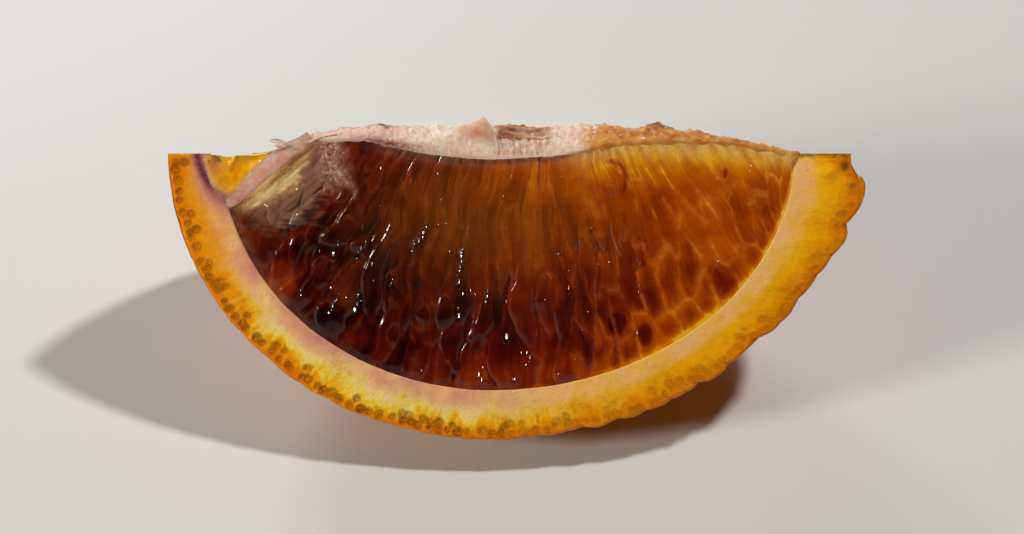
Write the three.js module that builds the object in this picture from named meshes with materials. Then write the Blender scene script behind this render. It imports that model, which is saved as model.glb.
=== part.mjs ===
// A wedge of a blood orange, cut from pole to pole and lying on its peel, in millimetres.
//
// The fruit's axis runs along X, with the blossom end at -X and the stem end at +X. The wedge hangs below
// that axis: one cut face looks towards -Y and up, the other towards +Y and up, and the peel is underneath.
// Between the two faces, along the top, runs the crest, where the knife left a strip of the fruit's core.
// The wedge is one piece of food, so it is one closed solid: a stack of cross-sections along X, each a ring
// of points that goes down the front face, round the peel, up the back face and over the crest.

import * as THREE from "three";

const { clamp, degToRad, lerp, smoothstep } = THREE.MathUtils;

// The fruit.
const BLOSSOM_X = -35; // its two ends
const STEM_X = 34.9;
const BELLY_X = -2.5; // where it is widest, a little towards the blossom end
const BELLY_RADIUS = 30.3;
const STEM_TAPER = 0.13; // how much slimmer than an ellipse the stem end is
const COLLAR = { height: 0.5, radius: 4.3, width: 2 };
const SCAR_DEPTH = 1.4; // of the stem's scar, inside the collar
const SCAR_WIDTH = 2.4;
const CHIP_DEPTH = 2; // of the piece that came off the back of the collar with the stem
const CHIP_WIDTH = 4.5;
const PEEL_THICKNESS = 6;

// The cut.
const FACE_ANGLE = degToRad(33); // each cut face, from straight down
const FOOT_DEPTH = 0.25; // how far the peel is pressed flat where it rests
const AXIS_HEIGHT = BELLY_RADIUS - FOOT_DEPTH;

// The flesh, which stands proud of the cut, and its juice sacs.
const FLESH_BULGE = 0.5;
const FLESH_EDGE = 1.6; // how far in from the peel the flesh takes to rise
const SAC_WIDTH = 3.4; // at the peel; towards the core they narrow
const SAC_LENGTH = 9;
const SAC_RELIEF = 0.32;
const FAN_SHARE = 0.45; // how far along the core the sacs' inner ends spread, as a share of their outer ends

// The wall between the main segment and the small one in the corner at the blossom end: its outer and inner
// ends, as places along X and distances down the face from the axis.
const WALL_OUTER = { x: -28.5, down: 6.8 };
const WALL_INNER = { x: -18.7, down: -1.9 };
const WALL_GROOVE = 0.35;
const WALL_WIDTH = 1.1;

// The peel's coarse lumps.
const LUMP_HEIGHT = 0.2;
const LUMP_LENGTH = 3.4;

// The crest.
const CREST_X = 1; // its middle
const CREST_HALF_LENGTH = 28;
const CREST_BACK = 2.9; // how far behind the axis its back edge runs
const CREST_THINNEST = 0.3;
const END_RADIUS = 3.6; // a cross-section smaller than this narrows to the fruit's end

// How finely the solid is cut into facets.
const SECTIONS = 60;
const FACE_STEPS = 17;
const PEEL_STEPS = 17;
const CREST_STEPS = 4;

const bell = (value, centre, width) => Math.exp(-(((value - centre) / width) ** 2));

// The fruit's outline from the blossom end (share 0) to the stem end (share 1): how far along the skin is,
// its distance from the axis, and the place on the axis that belongs with it. The collar overhangs the scar.
function outline(share) {
  const along = -Math.cos(Math.PI * share);
  const reach = along < 0 ? BELLY_X - BLOSSOM_X : STEM_X - BELLY_X;
  const towardsStem = Math.max(0, along);
  const radius = BELLY_RADIUS * Math.sin(Math.PI * share) * (1 - STEM_TAPER * towardsStem ** 3);
  const nearStem = smoothstep(along, 0.6, 0.9);
  const collar = nearStem * COLLAR.height * bell(radius, COLLAR.radius, COLLAR.width);
  const scar = nearStem * SCAR_DEPTH * bell(radius, 0, SCAR_WIDTH);
  const x = BELLY_X + along * reach;
  return { axisX: x - SCAR_DEPTH * towardsStem ** 4, skinX: x + collar - scar, radius };
}

// How far inside the fruit's skin a point of a cut face lies; down is its distance from the axis.
function depthInFruit(x, down, radius) {
  const reach = x < BELLY_X ? BELLY_X - BLOSSOM_X : STEM_X - BELLY_X;
  const along = (x - BELLY_X) / reach;
  const slope = (BELLY_RADIUS * along) / (reach * Math.sqrt(Math.max(0.04, 1 - along * along)));
  return Math.max(0, radius - down) / Math.hypot(1, slope);
}

// The height of the juice sacs' relief: long pods that fan out from the core, each row staggered on the next.
function sacRelief(x, down) {
  const outward = clamp(down / BELLY_RADIUS, 0, 1);
  const fan = x / lerp(FAN_SHARE, 1, outward);
  const row = Math.floor(down / SAC_LENGTH);
  const across = Math.abs(Math.cos((Math.PI * fan) / SAC_WIDTH + (row % 2) * (Math.PI / 2)));
  const endwise = Math.sin((Math.PI * (down - row * SAC_LENGTH)) / SAC_LENGTH);
  return SAC_RELIEF * (across * (0.5 + 0.5 * endwise) - 0.4);
}

// The depth of the groove along the wall of the corner segment.
function wallGroove(x, down) {
  const across = { x: WALL_INNER.down - WALL_OUTER.down, down: WALL_OUTER.x - WALL_INNER.x };
  const length = Math.hypot(across.x, across.down);
  const away = ((x - WALL_OUTER.x) * across.x + (down - WALL_OUTER.down) * across.down) / length;
  return WALL_GROOVE * bell(away, 0, WALL_WIDTH);
}

// How far a cut face stands out of its plane.
function faceRelief(x, down, radius) {
  const depth = depthInFruit(x, down, radius);
  const inFlesh = smoothstep(depth, PEEL_THICKNESS, PEEL_THICKNESS + FLESH_EDGE);
  return inFlesh * (FLESH_BULGE + sacRelief(x, down) - wallGroove(x, down));
}

// How far above the axis the front face goes, measured in its own plane.
function frontTop(x) {
  const overBlossomEnd = 1.9 * bell(x, -17, 6);
  const overStemEnd = 1.4 * Math.exp(-(((x - 16) / 9) ** 4));
  const dip = 0.3 * bell(x, -2.5, 4);
  const notch = 0.8 * bell(x, -29, 1.3);
  return overBlossomEnd + overStemEnd - dip - notch - CREST_THINNEST / 2;
}

// The crest is a blunt lens, seen from above: the share of its full depth that it has at x.
function crestLens(x) {
  return Math.max(0, 1 - ((x - CREST_X) / CREST_HALF_LENGTH) ** 4) ** 1.3;
}

// How high the torn core stands up in the middle of the crest.
function crestBump(x) {
  return 0.25 * crestLens(x) + 0.9 * bell(x, -4.3, 1.8) + 0.2 * bell(x, 15, 2);
}

// The height of the peel's lumps; angle is measured round the axis from straight down.
function lump(x, angle) {
  const round = (angle * BELLY_RADIUS) / LUMP_LENGTH;
  const along = (2 * Math.PI * x) / LUMP_LENGTH;
  const coarser = lerp(0.45, 1, smoothstep(x, 0, 25));
  return LUMP_HEIGHT * coarser * Math.sin(along + 1.7 * Math.sin(round)) * Math.cos(2 * round);
}

// A point of a cut face in the cross-section; side is -1 for the front face and 1 for the back face.
function facePoint(side, down, relief) {
  return {
    y: side * (down * Math.sin(FACE_ANGLE) + relief * Math.cos(FACE_ANGLE)),
    z: relief * Math.sin(FACE_ANGLE) - down * Math.cos(FACE_ANGLE),
  };
}

// The ring of points of one cross-section, with z measured from the axis.
function sectionRing({ axisX, skinX, radius }) {
  const full = Math.min(1, radius / END_RADIUS);
  const backX = skinX - (axisX > 0 ? CHIP_DEPTH * bell(radius, 0.5 * CHIP_WIDTH, CHIP_WIDTH) * full : 0);
  const top = full * frontTop(axisX);
  const ring = [];
  const put = (x, { y, z }) => ring.push([x, y, z]);

  // Down the front face.
  const frontEdge = facePoint(-1, -top, 0);
  put(axisX, frontEdge);
  for (let step = 1; step < FACE_STEPS; step++) {
    const down = lerp(-top, radius, step / FACE_STEPS);
    const x = lerp(axisX, skinX, Math.max(0, down / radius));
    put(x, facePoint(-1, down, faceRelief(x, Math.max(0, down), radius)));
  }

  // Round the peel.
  for (let step = 0; step < PEEL_STEPS; step++) {
    const angle = lerp(-FACE_ANGLE, FACE_ANGLE, step / PEEL_STEPS);
    const awayFromCuts = Math.sin((Math.PI * step) / PEEL_STEPS);
    const skin = radius + full * awayFromCuts * lump(skinX, angle);
    put(lerp(skinX, backX, step / PEEL_STEPS), { y: skin * Math.sin(angle), z: -skin * Math.cos(angle) });
  }

  // Up the back face.
  const lens = crestLens(axisX);
  const backRim = facePoint(1, radius, 0);
  const backEdge = {
    y: Math.max(frontEdge.y + full * CREST_THINNEST, lens * CREST_BACK),
    z: lens * 0.2 + 0.5 * Math.max(0, frontEdge.z),
  };
  put(backX, backRim);
  for (let step = 1; step < FACE_STEPS; step++) {
    const share = step / FACE_STEPS;
    const x = lerp(backX, axisX, share);
    const relief = faceRelief(x, radius * (1 - share), radius);
    put(x, {
      y: lerp(backRim.y, backEdge.y, share) + relief * Math.cos(FACE_ANGLE),
      z: lerp(backRim.z, backEdge.z, share) + relief * Math.sin(FACE_ANGLE),
    });
  }

  // Back over the crest.
  for (let step = 0; step < CREST_STEPS; step++) {
    const share = step / CREST_STEPS;
    const rise = full * crestBump(axisX) * Math.sin(Math.PI * share);
    put(axisX, {
      y: lerp(backEdge.y, frontEdge.y, share),
      z: lerp(backEdge.z, frontEdge.z, share) + rise,
    });
  }
  return ring;
}

// The wedge's closed surface: the rings of the cross-sections, with one point at each end of the fruit.
function wedgeGeometry() {
  const places = [];
  const faces = [];
  const put = (x, y, z) => places.push(x, y, Math.max(0, z + AXIS_HEIGHT)) / 3 - 1;

  const blossomEnd = put(BLOSSOM_X, 0, 0);
  const rings = [];
  for (let section = 1; section < SECTIONS; section++) {
    rings.push(sectionRing(outline(section / SECTIONS)).map((point) => put(...point)));
  }
  const stemEnd = put(STEM_X - SCAR_DEPTH, 0, 0);

  const ringSize = rings[0].length;
  const last = rings[rings.length - 1];
  for (let column = 0; column < ringSize; column++) {
    const next = (column + 1) % ringSize;
    faces.push(blossomEnd, rings[0][next], rings[0][column]);
    for (let row = 0; row + 1 < rings.length; row++) {
      const here = rings[row];
      const beyond = rings[row + 1];
      faces.push(here[column], here[next], beyond[column]);
      faces.push(here[next], beyond[next], beyond[column]);
    }
    faces.push(last[column], last[next], stemEnd);
  }

  const geometry = new THREE.BufferGeometry();
  geometry.setAttribute("position", new THREE.Float32BufferAttribute(places, 3));
  geometry.setIndex(faces);
  geometry.computeVertexNormals();
  return geometry;
}

const flesh = new THREE.MeshStandardMaterial({ color: 0xb4500c, roughness: 0.35, metalness: 0 });
const wedge = new THREE.Mesh(wedgeGeometry(), flesh);
wedge.name = "orange_wedge";

const slice = new THREE.Group();
slice.add(wedge);

export default slice;
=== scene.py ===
"""A wedge of blood orange lying on its peel: its looks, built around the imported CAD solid.

Everything is worked out in millimetres and put into Blender in metres. The fruit's axis runs along X, from
the blossom end at -X to the stem end at +X. A place on a cut face is (x, down, out): along the axis, down the
face from it, and out of the face's plane.
"""

from functools import partial
from types import SimpleNamespace

import bmesh
import bpy
import numpy as np
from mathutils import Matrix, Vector
from numpy import clip, cos, hypot, linspace, maximum, minimum, pi, sin, where


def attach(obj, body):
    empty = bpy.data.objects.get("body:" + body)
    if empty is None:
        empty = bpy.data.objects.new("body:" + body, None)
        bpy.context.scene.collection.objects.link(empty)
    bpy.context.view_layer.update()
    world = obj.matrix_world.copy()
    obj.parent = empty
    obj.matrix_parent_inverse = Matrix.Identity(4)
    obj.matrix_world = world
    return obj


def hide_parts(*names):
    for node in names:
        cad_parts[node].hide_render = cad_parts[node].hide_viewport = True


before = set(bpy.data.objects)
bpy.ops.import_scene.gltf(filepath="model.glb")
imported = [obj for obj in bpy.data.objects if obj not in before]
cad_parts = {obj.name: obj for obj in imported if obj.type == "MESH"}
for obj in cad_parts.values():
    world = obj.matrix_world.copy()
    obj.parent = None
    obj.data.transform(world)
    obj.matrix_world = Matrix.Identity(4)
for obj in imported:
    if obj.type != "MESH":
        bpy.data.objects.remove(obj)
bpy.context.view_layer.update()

MM = 0.001
BODY = "root"
NODE = "orange_wedge"

# The fruit, as in the CAD solid.
BLOSSOM_X = -35.0
STEM_X = 34.9
BELLY_X = -2.5
BELLY_RADIUS = 30.3
STEM_TAPER = 0.13
FACE_ANGLE = np.radians(33)
SLANT, DROP = sin(FACE_ANGLE), cos(FACE_ANGLE)  # how far out and how far down a cut face goes per millimetre
AXIS_Z = BELLY_RADIUS - 0.25  # the peel is pressed flat where it rests
INSIDE = (0, 0, AXIS_Z - 10)  # a place well inside the wedge
FRONT, BACK = -1, 1

# The flesh inside the peel.
FLESH_RADIUS = 24.8
FLESH_BLOSSOM_X = -29.55
FLESH_STEM_X = 27.7

# The corner segment's wall: where its line starts at the peel, and the cosine and sine of its slope.
WALL_X, WALL_DOWN = -28.5, 6.8
WALL_COS, WALL_SIN = 0.748, 0.664

# How finely the rind is cut: along the fruit, across a cut face, round the skin, and round the hidden inside.
RIND_SECTIONS = 640
RIND_STEPS = 34
SKIN_STEPS = 76
HIDDEN_STEPS = 10


# ---- Small tools ----


def smooth(value, low, high):
    """0 below low, 1 above high, and a soft step between them."""
    share = unit((value - low) / (high - low))
    return share * share * (3 - 2 * share)


def fade(value, low, high):
    """1 below low and 0 above high."""
    return 1 - smooth(value, low, high)


def unit(value):
    return clip(value, 0, 1)


def bell(value, centre, width):
    return np.exp(-(((value - centre) / width) ** 2))


def lerp(a, b, share):
    return a + (b - a) * share


def srgb(red, green, blue):
    """A screen colour, from 0 to 255, as the linear colour that shaders take."""
    shown = np.array([red, green, blue]) / 255
    linear = where(shown <= 0.04045, shown / 12.92, ((shown + 0.055) / 1.055) ** 2.4)
    return (*linear.tolist(), 1)


def noise(points, size, seed):
    """Smooth noise of about -1 to 1 at each point, with lumps about size across."""
    rng = np.random.default_rng(seed)
    wrap = 24
    slopes = rng.normal(size=(wrap, wrap, wrap, 3))
    slopes /= np.linalg.norm(slopes, axis=-1, keepdims=True)
    place = points / size + rng.uniform(0, wrap, 3)
    corner = np.floor(place).astype(int)
    inside = place - corner
    ease = inside * inside * inside * (inside * (inside * 6 - 15) + 10)
    total = 0
    for step in np.ndindex(2, 2, 2):
        slope = slopes[tuple(np.moveaxis((corner + step) % wrap, -1, 0))]
        weight = np.prod(where(np.array(step) == 1, ease, 1 - ease), axis=-1)
        total = total + weight * (slope * (inside - step)).sum(-1)
    return 1.6 * total


def ripple(x, y, size, seed):
    """Noise over a plane. size is one number, or one along x and one along y."""
    along, across = size if isinstance(size, tuple) else (size, size)
    x, y = np.broadcast_arrays(x, y)
    return noise(np.stack([x / along, y / across, np.zeros(x.shape)], -1), 1, seed)


def nearest_seed(points, size, seed, wrap=32, margin=0.1):
    """Each point's distance to the nearest of many scattered seeds and to the border of that seed's cell, and
    that seed's random number."""
    rng = np.random.default_rng(seed)
    axes = points.shape[-1]
    seeds = rng.uniform(margin, 1 - margin, (wrap,) * axes + (axes,))
    marks = rng.uniform(0, 1, (wrap,) * axes)
    place = points / size
    corner = np.floor(place).astype(int)
    far = 9.0
    nearest = np.full(place.shape[:-1], far)
    second = np.full(place.shape[:-1], far)
    mark = np.zeros(place.shape[:-1])
    for step in np.ndindex((3,) * axes):
        cell = corner + np.array(step) - 1
        key = tuple(np.moveaxis(cell % wrap, -1, 0))
        away = np.linalg.norm(cell + seeds[key] - place, axis=-1)
        closer = away < nearest
        second = where(closer, nearest, minimum(second, away))
        nearest = where(closer, away, nearest)
        mark = where(closer, marks[key], mark)
    return nearest * size, (second - nearest) * size / 2, mark


def flat_cells(x, y, size, seed):
    """Scattered cells over a plane: each place's distance to the border, and its cell's random number."""
    return nearest_seed(np.stack([x, y], -1), size, seed, wrap=64, margin=0.12)[1:]


def lengths_along(x, y):
    """How far along a line of points each of them lies."""
    return np.concatenate([[0], np.cumsum(hypot(np.diff(x), np.diff(y)))])


# ---- The fruit's shape ----


def skin_outline(share):
    """(x, radius) of the skin from the blossom end, share 0, to the stem end, share 1."""
    along = -cos(pi * share)
    reach = where(along < 0, BELLY_X - BLOSSOM_X, STEM_X - BELLY_X)
    stemward = maximum(0, along)
    radius = BELLY_RADIUS * sin(pi * share) * (1 - STEM_TAPER * stemward**3)
    near_stem = smooth(along, 0.6, 0.9)
    collar = 0.6 * bell(radius, 4.8, 2.2) - 0.65 * bell(radius, 7.6, 0.45) + 0.3 * bell(radius, 8.8, 0.9)
    scar = 1.4 * fade(radius, 0.7, 3.9)
    return BELLY_X + along * reach + near_stem * (collar - scar), radius


def stem_chip(x, radius):
    """How much of the collar came off with the stem, at the back."""
    return where(x > 0, 2 * bell(radius, 2.25, 4.5), 0)


def flesh_outline(share):
    """(x, down) of the edge of the flesh on a cut face, for the same shares."""
    along = -cos(pi * share)
    reach = where(along < 0, BELLY_X - FLESH_BLOSSOM_X, FLESH_STEM_X - BELLY_X)
    down = FLESH_RADIUS * sin(pi * share)
    corner = where(along < 0, 1.45 * bell(down, 1.2, 2.7), 0)
    return BELLY_X + along * reach - corner, down


def front_top(x):
    """How far above the axis the front face goes, measured down its own plane."""
    over_blossom = 1.9 * bell(x, -17.5, 6)
    over_stem = 1.4 * np.exp(-(((x - 16) / 9.5) ** 4))
    dip = 0.35 * bell(x, -2.5, 4)
    return over_blossom + over_stem - dip


def crest_lens(x):
    """The share of its full depth that the crest, a blunt lens from above, has at x."""
    return maximum(0, 1 - abs((x - 1) / where(x < 1, 26.4, 26.6)) ** 4) ** 1.3


def crest_back_edge(x):
    """(y, z) of the crest's back edge, measured from the axis."""
    lens = crest_lens(x)
    share = 0.5 - 0.2 * smooth(x, 8, 16)
    return 2.85 * lens, 0.3 * lens + share * maximum(0, front_top(x) * DROP)


def on_face(side, x, down, out):
    """Points of a cut face in space. The back face leans out to the crest's back edge, where down is 0."""
    y = side * (down * SLANT + out * DROP)
    z = AXIS_Z - down * DROP + out * SLANT
    if side == BACK:
        along = (x - BELLY_X) / where(x < BELLY_X, BELLY_X - BLOSSOM_X, STEM_X - BELLY_X)
        radius = BELLY_RADIUS * np.sqrt(clip(1 - along**2, 0.01, 1))
        lean = unit(1 - down / radius)
        edge_y, edge_z = crest_back_edge(x)
        y = y + lean * edge_y
        z = z + lean * edge_z
    return np.stack([x, y, z], -1)


# ---- Meshes ----


def grid_faces(rows, columns, around=False, first=0):
    """The quads of a grid of vertices. around joins the last column to the first."""
    row = np.arange(rows - 1)[:, None] * columns
    column = np.arange(columns if around else columns - 1)[None]
    beside = (column + 1) % columns
    quads = np.stack([row + column, row + beside, row + columns + beside, row + columns + column], -1)
    return quads.reshape(-1, 4) + first


def add_piece(name, points, material, values, faces=None, weld=False):
    """A smooth piece. points are a grid, unless faces are given. values are numbers per point that the
    material reads; those not given are 0."""
    if faces is None:
        faces = grid_faces(*points.shape[:2])
    vertices = points.reshape(-1, 3)
    corners = vertices[faces]
    normals = np.cross(corners[:, 2] - corners[:, 0], corners[:, 3] - corners[:, 1])
    outwards = ((corners.mean(1) - INSIDE) * normals).sum()
    if outwards < 0:
        faces = faces[:, ::-1]
    mesh = bpy.data.meshes.new(name)
    mesh.from_pydata((vertices * MM).tolist(), [], faces.tolist())
    read = {node.attribute_name for node in material.node_tree.nodes if node.type == "ATTRIBUTE"}
    for key in sorted(read):
        numbers = np.float32(values.get(key, 0) * np.ones(points.shape[:-1]))
        mesh.attributes.new(key, "FLOAT", "POINT").data.foreach_set("value", numbers.ravel())
    if weld:
        work = bmesh.new()
        work.from_mesh(mesh)
        bmesh.ops.remove_doubles(work, verts=work.verts, dist=0.002 * MM)
        bmesh.ops.dissolve_degenerate(work, edges=work.edges, dist=0.001 * MM)
        bmesh.ops.recalc_face_normals(work, faces=work.faces)
        work.to_mesh(mesh)
        work.free()
    mesh.polygons.foreach_set("use_smooth", np.ones(len(mesh.polygons), dtype=bool))
    mesh.update()
    piece = bpy.data.objects.new(name, mesh)
    bpy.context.scene.collection.objects.link(piece)
    mesh.materials.append(material)
    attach(piece, BODY)
    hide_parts(NODE)


def add_joined(name, grids, material):
    """Many small grids as one piece. Each is (points, values), and its columns run all round."""
    vertices, faces = [], []
    values = {key: [] for key in grids[0][1]}
    for points, given in grids:
        rows, columns = points.shape[:2]
        faces.append(grid_faces(rows, columns, around=True, first=len(vertices) * rows * columns))
        vertices.append(points.reshape(-1, 3))
        for key, value in given.items():
            values[key].append((value * np.ones((rows, columns))).ravel())
    values = {key: np.concatenate(parts) for key, parts in values.items()}
    add_piece(name, np.concatenate(vertices), material, values, np.concatenate(faces))


# ---- Materials ----


class Shader:
    """A material's nodes, made by short calls. What goes into one is a socket, the name of one of the piece's
    values, a colour as srgb takes it, or a number."""

    def __init__(self, name):
        self.material = bpy.data.materials.new(name)
        self.material.use_nodes = True
        self.nodes = self.material.node_tree.nodes
        self.links = self.material.node_tree.links
        self.surface = self.nodes["Principled BSDF"]

    def join(self, source, target):
        if isinstance(source, str):
            source = self.node("Attribute", attribute_name=source).outputs["Fac"]
        if isinstance(source, tuple):
            source = srgb(*source)
        if isinstance(source, bpy.types.NodeSocket):
            self.links.new(source, target)
        else:
            target.default_value = source

    def set(self, **values):
        for key, value in values.items():
            self.join(value, self.surface.inputs[key.replace("_", " ")])

    def node(self, kind, inputs=None, **settings):
        node = self.nodes.new("ShaderNode" + kind)
        for key, setting in settings.items():
            setattr(node, key, setting)
        for key, source in (inputs or {}).items():
            self.join(source, node.inputs[key])
        return node

    def math(self, operation, a, b, clamp=False):
        return self.node("Math", {0: a, 1: b}, operation=operation, use_clamp=clamp).outputs[0]

    def plus(self, a, b):
        return self.math("ADD", a, b)

    def times(self, a, b):
        return self.math("MULTIPLY", a, b)

    def between(self, value, low, high, to_low=0, to_high=1):
        inputs = {"Value": value, "From Min": low, "From Max": high, "To Min": to_low, "To Max": to_high}
        return self.node("MapRange", inputs, interpolation_type="SMOOTHSTEP").outputs["Result"]

    def mix(self, a, b, share):
        return self.node("Mix", {0: share, 6: a, 7: b}, data_type="RGBA").outputs[2]

    def cover(self, colour, *layers):
        """Each layer is (its colour, how much of it covers what is below)."""
        for layer, share in layers:
            colour = self.mix(colour, layer, share)
        return colour

    def ramp(self, value, *stops):
        """Each stop is (place, red, green, blue)."""
        node = self.node("ValToRGB", {0: value})
        points = node.color_ramp.elements
        while len(points) < len(stops):
            points.new(1)
        for point, (place, *colour) in zip(points, stops):
            point.position = place
            point.color = srgb(*colour)
        return node.outputs["Color"]

    def noise(self, size, detail, stretch=(1, 1, 1), roughness=0.5, vector=None):
        """Noise over the piece's own millimetres, stretched, or over another vector."""
        if vector is None:
            place = {"Vector": self.node("TexCoord").outputs["Object"], "Scale": [s / MM for s in stretch]}
            vector = self.node("Mapping", place).outputs["Vector"]
        inputs = {"Vector": vector, "Scale": 1 / size, "Detail": detail, "Roughness": roughness}
        return self.node("TexNoise", inputs).outputs["Fac"]

    def fibres(self, across, along, detail):
        """Noise drawn out along the juice sacs, by the flesh's own coordinates."""
        place = {0: self.math("DIVIDE", "across", across), 1: self.math("DIVIDE", "outward", along)}
        return self.noise(1, detail, vector=self.node("CombineXYZ", place).outputs[0])

    def around(self, noise, height):
        """A noise of 0 to 1 turned into one of -height to height."""
        return self.times(self.math("SUBTRACT", noise, 0.5), 2 * height)

    def patches(self, size, detail, low, high, to_low=0, to_high=1, **options):
        """Soft-edged patches, where a noise is above low to high."""
        return self.between(self.noise(size, detail, **options), low, high, to_low, to_high)

    def bump(self, *heights):
        """Each height is (socket, strength, distance in millimetres)."""
        normal = None
        for socket, strength, distance in heights:
            node = self.node("Bump", {"Strength": strength, "Distance": distance * MM, "Height": socket})
            if normal:
                self.links.new(normal, node.inputs["Normal"])
            normal = node.outputs["Normal"]
        self.set(Normal=normal)

    def glow(self, weight, radius):
        """Light carried under the surface, radius millimetres for red, green and blue."""
        self.set(Subsurface_Weight=weight, Subsurface_Radius=radius, Subsurface_Scale=MM)


def rind_material():
    """Skin, flavedo with its oil glands, and albedo, told apart by depth below the skin."""
    s = Shader("rind")
    clouds = s.around(s.noise(3.2, 3), 2.4)
    mottle = s.around(s.noise(0.9, 4, roughness=0.65), 1.8)
    streaks = s.around(s.fibres(0.45, 2.6, 4), 1.5)
    layer = s.plus("depth", s.plus(streaks, s.plus(clouds, mottle)))
    thickness = 7.5
    share = s.math("DIVIDE", layer, thickness, clamp=True)
    below = s.ramp(
        share,
        (0, 236, 126, 2), (0.12, 242, 142, 2), (0.24, 252, 186, 16), (0.36, 255, 218, 92),
        (0.5, 255, 214, 146), (0.68, 250, 182, 128), (0.85, 238, 160, 120), (1, 230, 148, 110),
    )
    blossom_end = s.ramp(
        share,
        (0, 240, 132, 2), (0.2, 246, 148, 6), (0.38, 250, 164, 24),
        (0.54, 240, 160, 72), (0.7, 226, 150, 112), (1, 238, 176, 136),
    )
    stem_end = s.ramp(
        share,
        (0, 228, 126, 2), (0.15, 236, 142, 2), (0.36, 250, 172, 2),
        (0.6, 255, 188, 16), (0.82, 255, 188, 56), (1, 252, 188, 92),
    )
    inside = s.cover(
        below,
        (blossom_end, "blossomward"),
        (stem_end, "stemward"),
        ((255, 192, 132), s.times("cream", s.patches(1.6, 4, 0.28, 0.68, 0.15, 0.8))),
        ((214, 134, 120), "pink"),
        ((104, 28, 66), s.times("vein", s.patches(0.5, 2, 0.25, 0.6, 0.85, 1))),
        (s.mix((196, 104, 4), (104, 46, 2), s.patches(0.26, 2, 0.38, 0.56)), "gland"),
        ((140, 62, 2), s.times("ring", 0.75)),
        ((206, 120, 60), s.patches(0.4, 2, 0.64, 0.72, 0, 0.4)),
        ((110, 66, 30), "scar"),
    )
    skin = s.cover(
        s.ramp(s.noise(9, 4), (0.3, 220, 114, 2), (0.5, 228, 128, 3), (0.7, 236, 144, 6)),
        ((190, 90, 2), "pit"),
        (s.mix((150, 92, 44), (222, 176, 110), s.patches(0.6, 3, 0.4, 0.66)), "scar"),
    )
    s.set(Base_Color=s.mix(skin, inside, "cut"))
    s.set(Roughness=0.42, Specular_IOR_Level=0.1, Coat_Weight=0.15, Coat_Roughness=0.15, Coat_IOR=1.3)
    s.glow(0.15, [1.4, 0.7, 0.2])
    s.bump((s.noise(0.28, 3), 0.6, 0.14), (s.noise(1.2, 2), 0.3, 0.2))
    return s.material


def flesh_material(name, gloss, gloss_roughness, uneven):
    """Juice sacs: their pigment, the thin walls between them, the membranes over them and the torn pith."""
    s = Shader(name)
    clouds = s.plus(s.around(s.noise(2.6, 3), 0.22), s.around(s.fibres(0.5, 5, 3), 0.14))
    seam = s.plus("seam", s.around(s.noise(0.9, 2), 0.16))
    wall = s.times(s.between(seam, 0, 0.16, 1, 0), s.patches(1.7, 2, 0.36, 0.62, 0.1, 1))
    wall = s.times(wall, "walls")
    paler = s.plus(s.between(seam, 0, 1, 0.1, 0), s.times(wall, 0.17))
    juice = s.ramp(
        s.math("SUBTRACT", s.plus("pigment", clouds), paler),
        (0, 244, 176, 16), (0.1, 224, 136, 2), (0.22, 204, 96, 2), (0.4, 172, 68, 2),
        (0.6, 126, 35, 3), (0.8, 86, 13, 3), (1, 28, 3, 6),
    )
    strand = s.plus("strand", s.around(s.noise(0.3, 3), 0.25))
    colour = s.cover(
        juice,
        ((140, 82, 18), "haze"),
        ((190, 120, 54), s.times(wall, 0.2)),
        ((158, 112, 88), "veil"),
        # Beside the wall, the pale yellow end of this ramp is partly the membrane's own colour and partly a
        # painted highlight.
        (s.ramp(strand, (0.1, 140, 92, 60), (0.4, 206, 156, 98), (0.85, 255, 224, 156)), "membrane"),
        (s.ramp(strand, (0.15, 96, 52, 36), (0.5, 176, 122, 100), (0.85, 240, 206, 186)), "fuzz"),
    )
    s.set(
        Base_Color=colour,
        Roughness=s.between("fuzz", 0, 1, 0.3, 0.8),
        Specular_IOR_Level=0.05,
        Coat_Weight=s.between("fuzz", 0, 1, 1, 0.05),
        Coat_Roughness=gloss_roughness,
        Coat_IOR=gloss,
    )
    s.glow(0.2, [1.2, 0.35, 0.1])
    s.bump((s.noise(0.5, 2), 0.5 * uneven, 0.14), (s.noise(0.22, 2), 0.35 * uneven, 0.07))
    return s.material


def pith_material():
    """The torn core and the wall of the corner segment: white pith, pink and brown stains, and wet jelly."""
    s = Shader("pith")
    strands = s.patches(0.5, 3, 0.36, 0.66, stretch=(0.25, 1.6, 1.6))
    colour = s.cover(
        s.mix((228, 192, 166), (248, 230, 208), s.patches(0.5, 5, 0.3, 0.62, roughness=0.7)),
        ((240, 154, 132), s.times("blush", s.patches(0.8, 3, 0.3, 0.65, 0.6, 1))),
        (s.mix((140, 76, 30), (206, 140, 90), strands), "brown"),
        (s.mix((200, 118, 34), (226, 156, 74), s.patches(1.2, 3, 0.35, 0.65)), "jelly"),
        ((206, 140, 26), "gold"),
        ((112, 36, 40), s.times("stain", s.patches(0.4, 2, 0.3, 0.6, 0.55, 1))),
    )
    s.set(
        Base_Color=colour,
        Roughness=s.between("jelly", 0, 1, 0.7, 0.3),
        Specular_IOR_Level=0.3,
        Coat_Weight=s.between("jelly", 0, 1, 0.1, 1),
        Coat_Roughness=0.08,
        Coat_IOR=1.33,
    )
    s.glow(0.75, [2.4, 1.7, 1.3])
    s.bump((s.noise(0.25, 5, roughness=0.7), 0.8, 0.16), (s.noise(0.9, 2), 0.3, 0.2))
    return s.material


# ---- The rind: skin, both cut faces down to the flesh, and a hidden inner side ----


def even_shares(outline, count):
    """The shares that space count points evenly along an outline."""
    fine = linspace(0, 1, 4000)
    length = lengths_along(*outline(fine))
    return np.interp(linspace(0, length[-1], count), length, fine)


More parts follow.
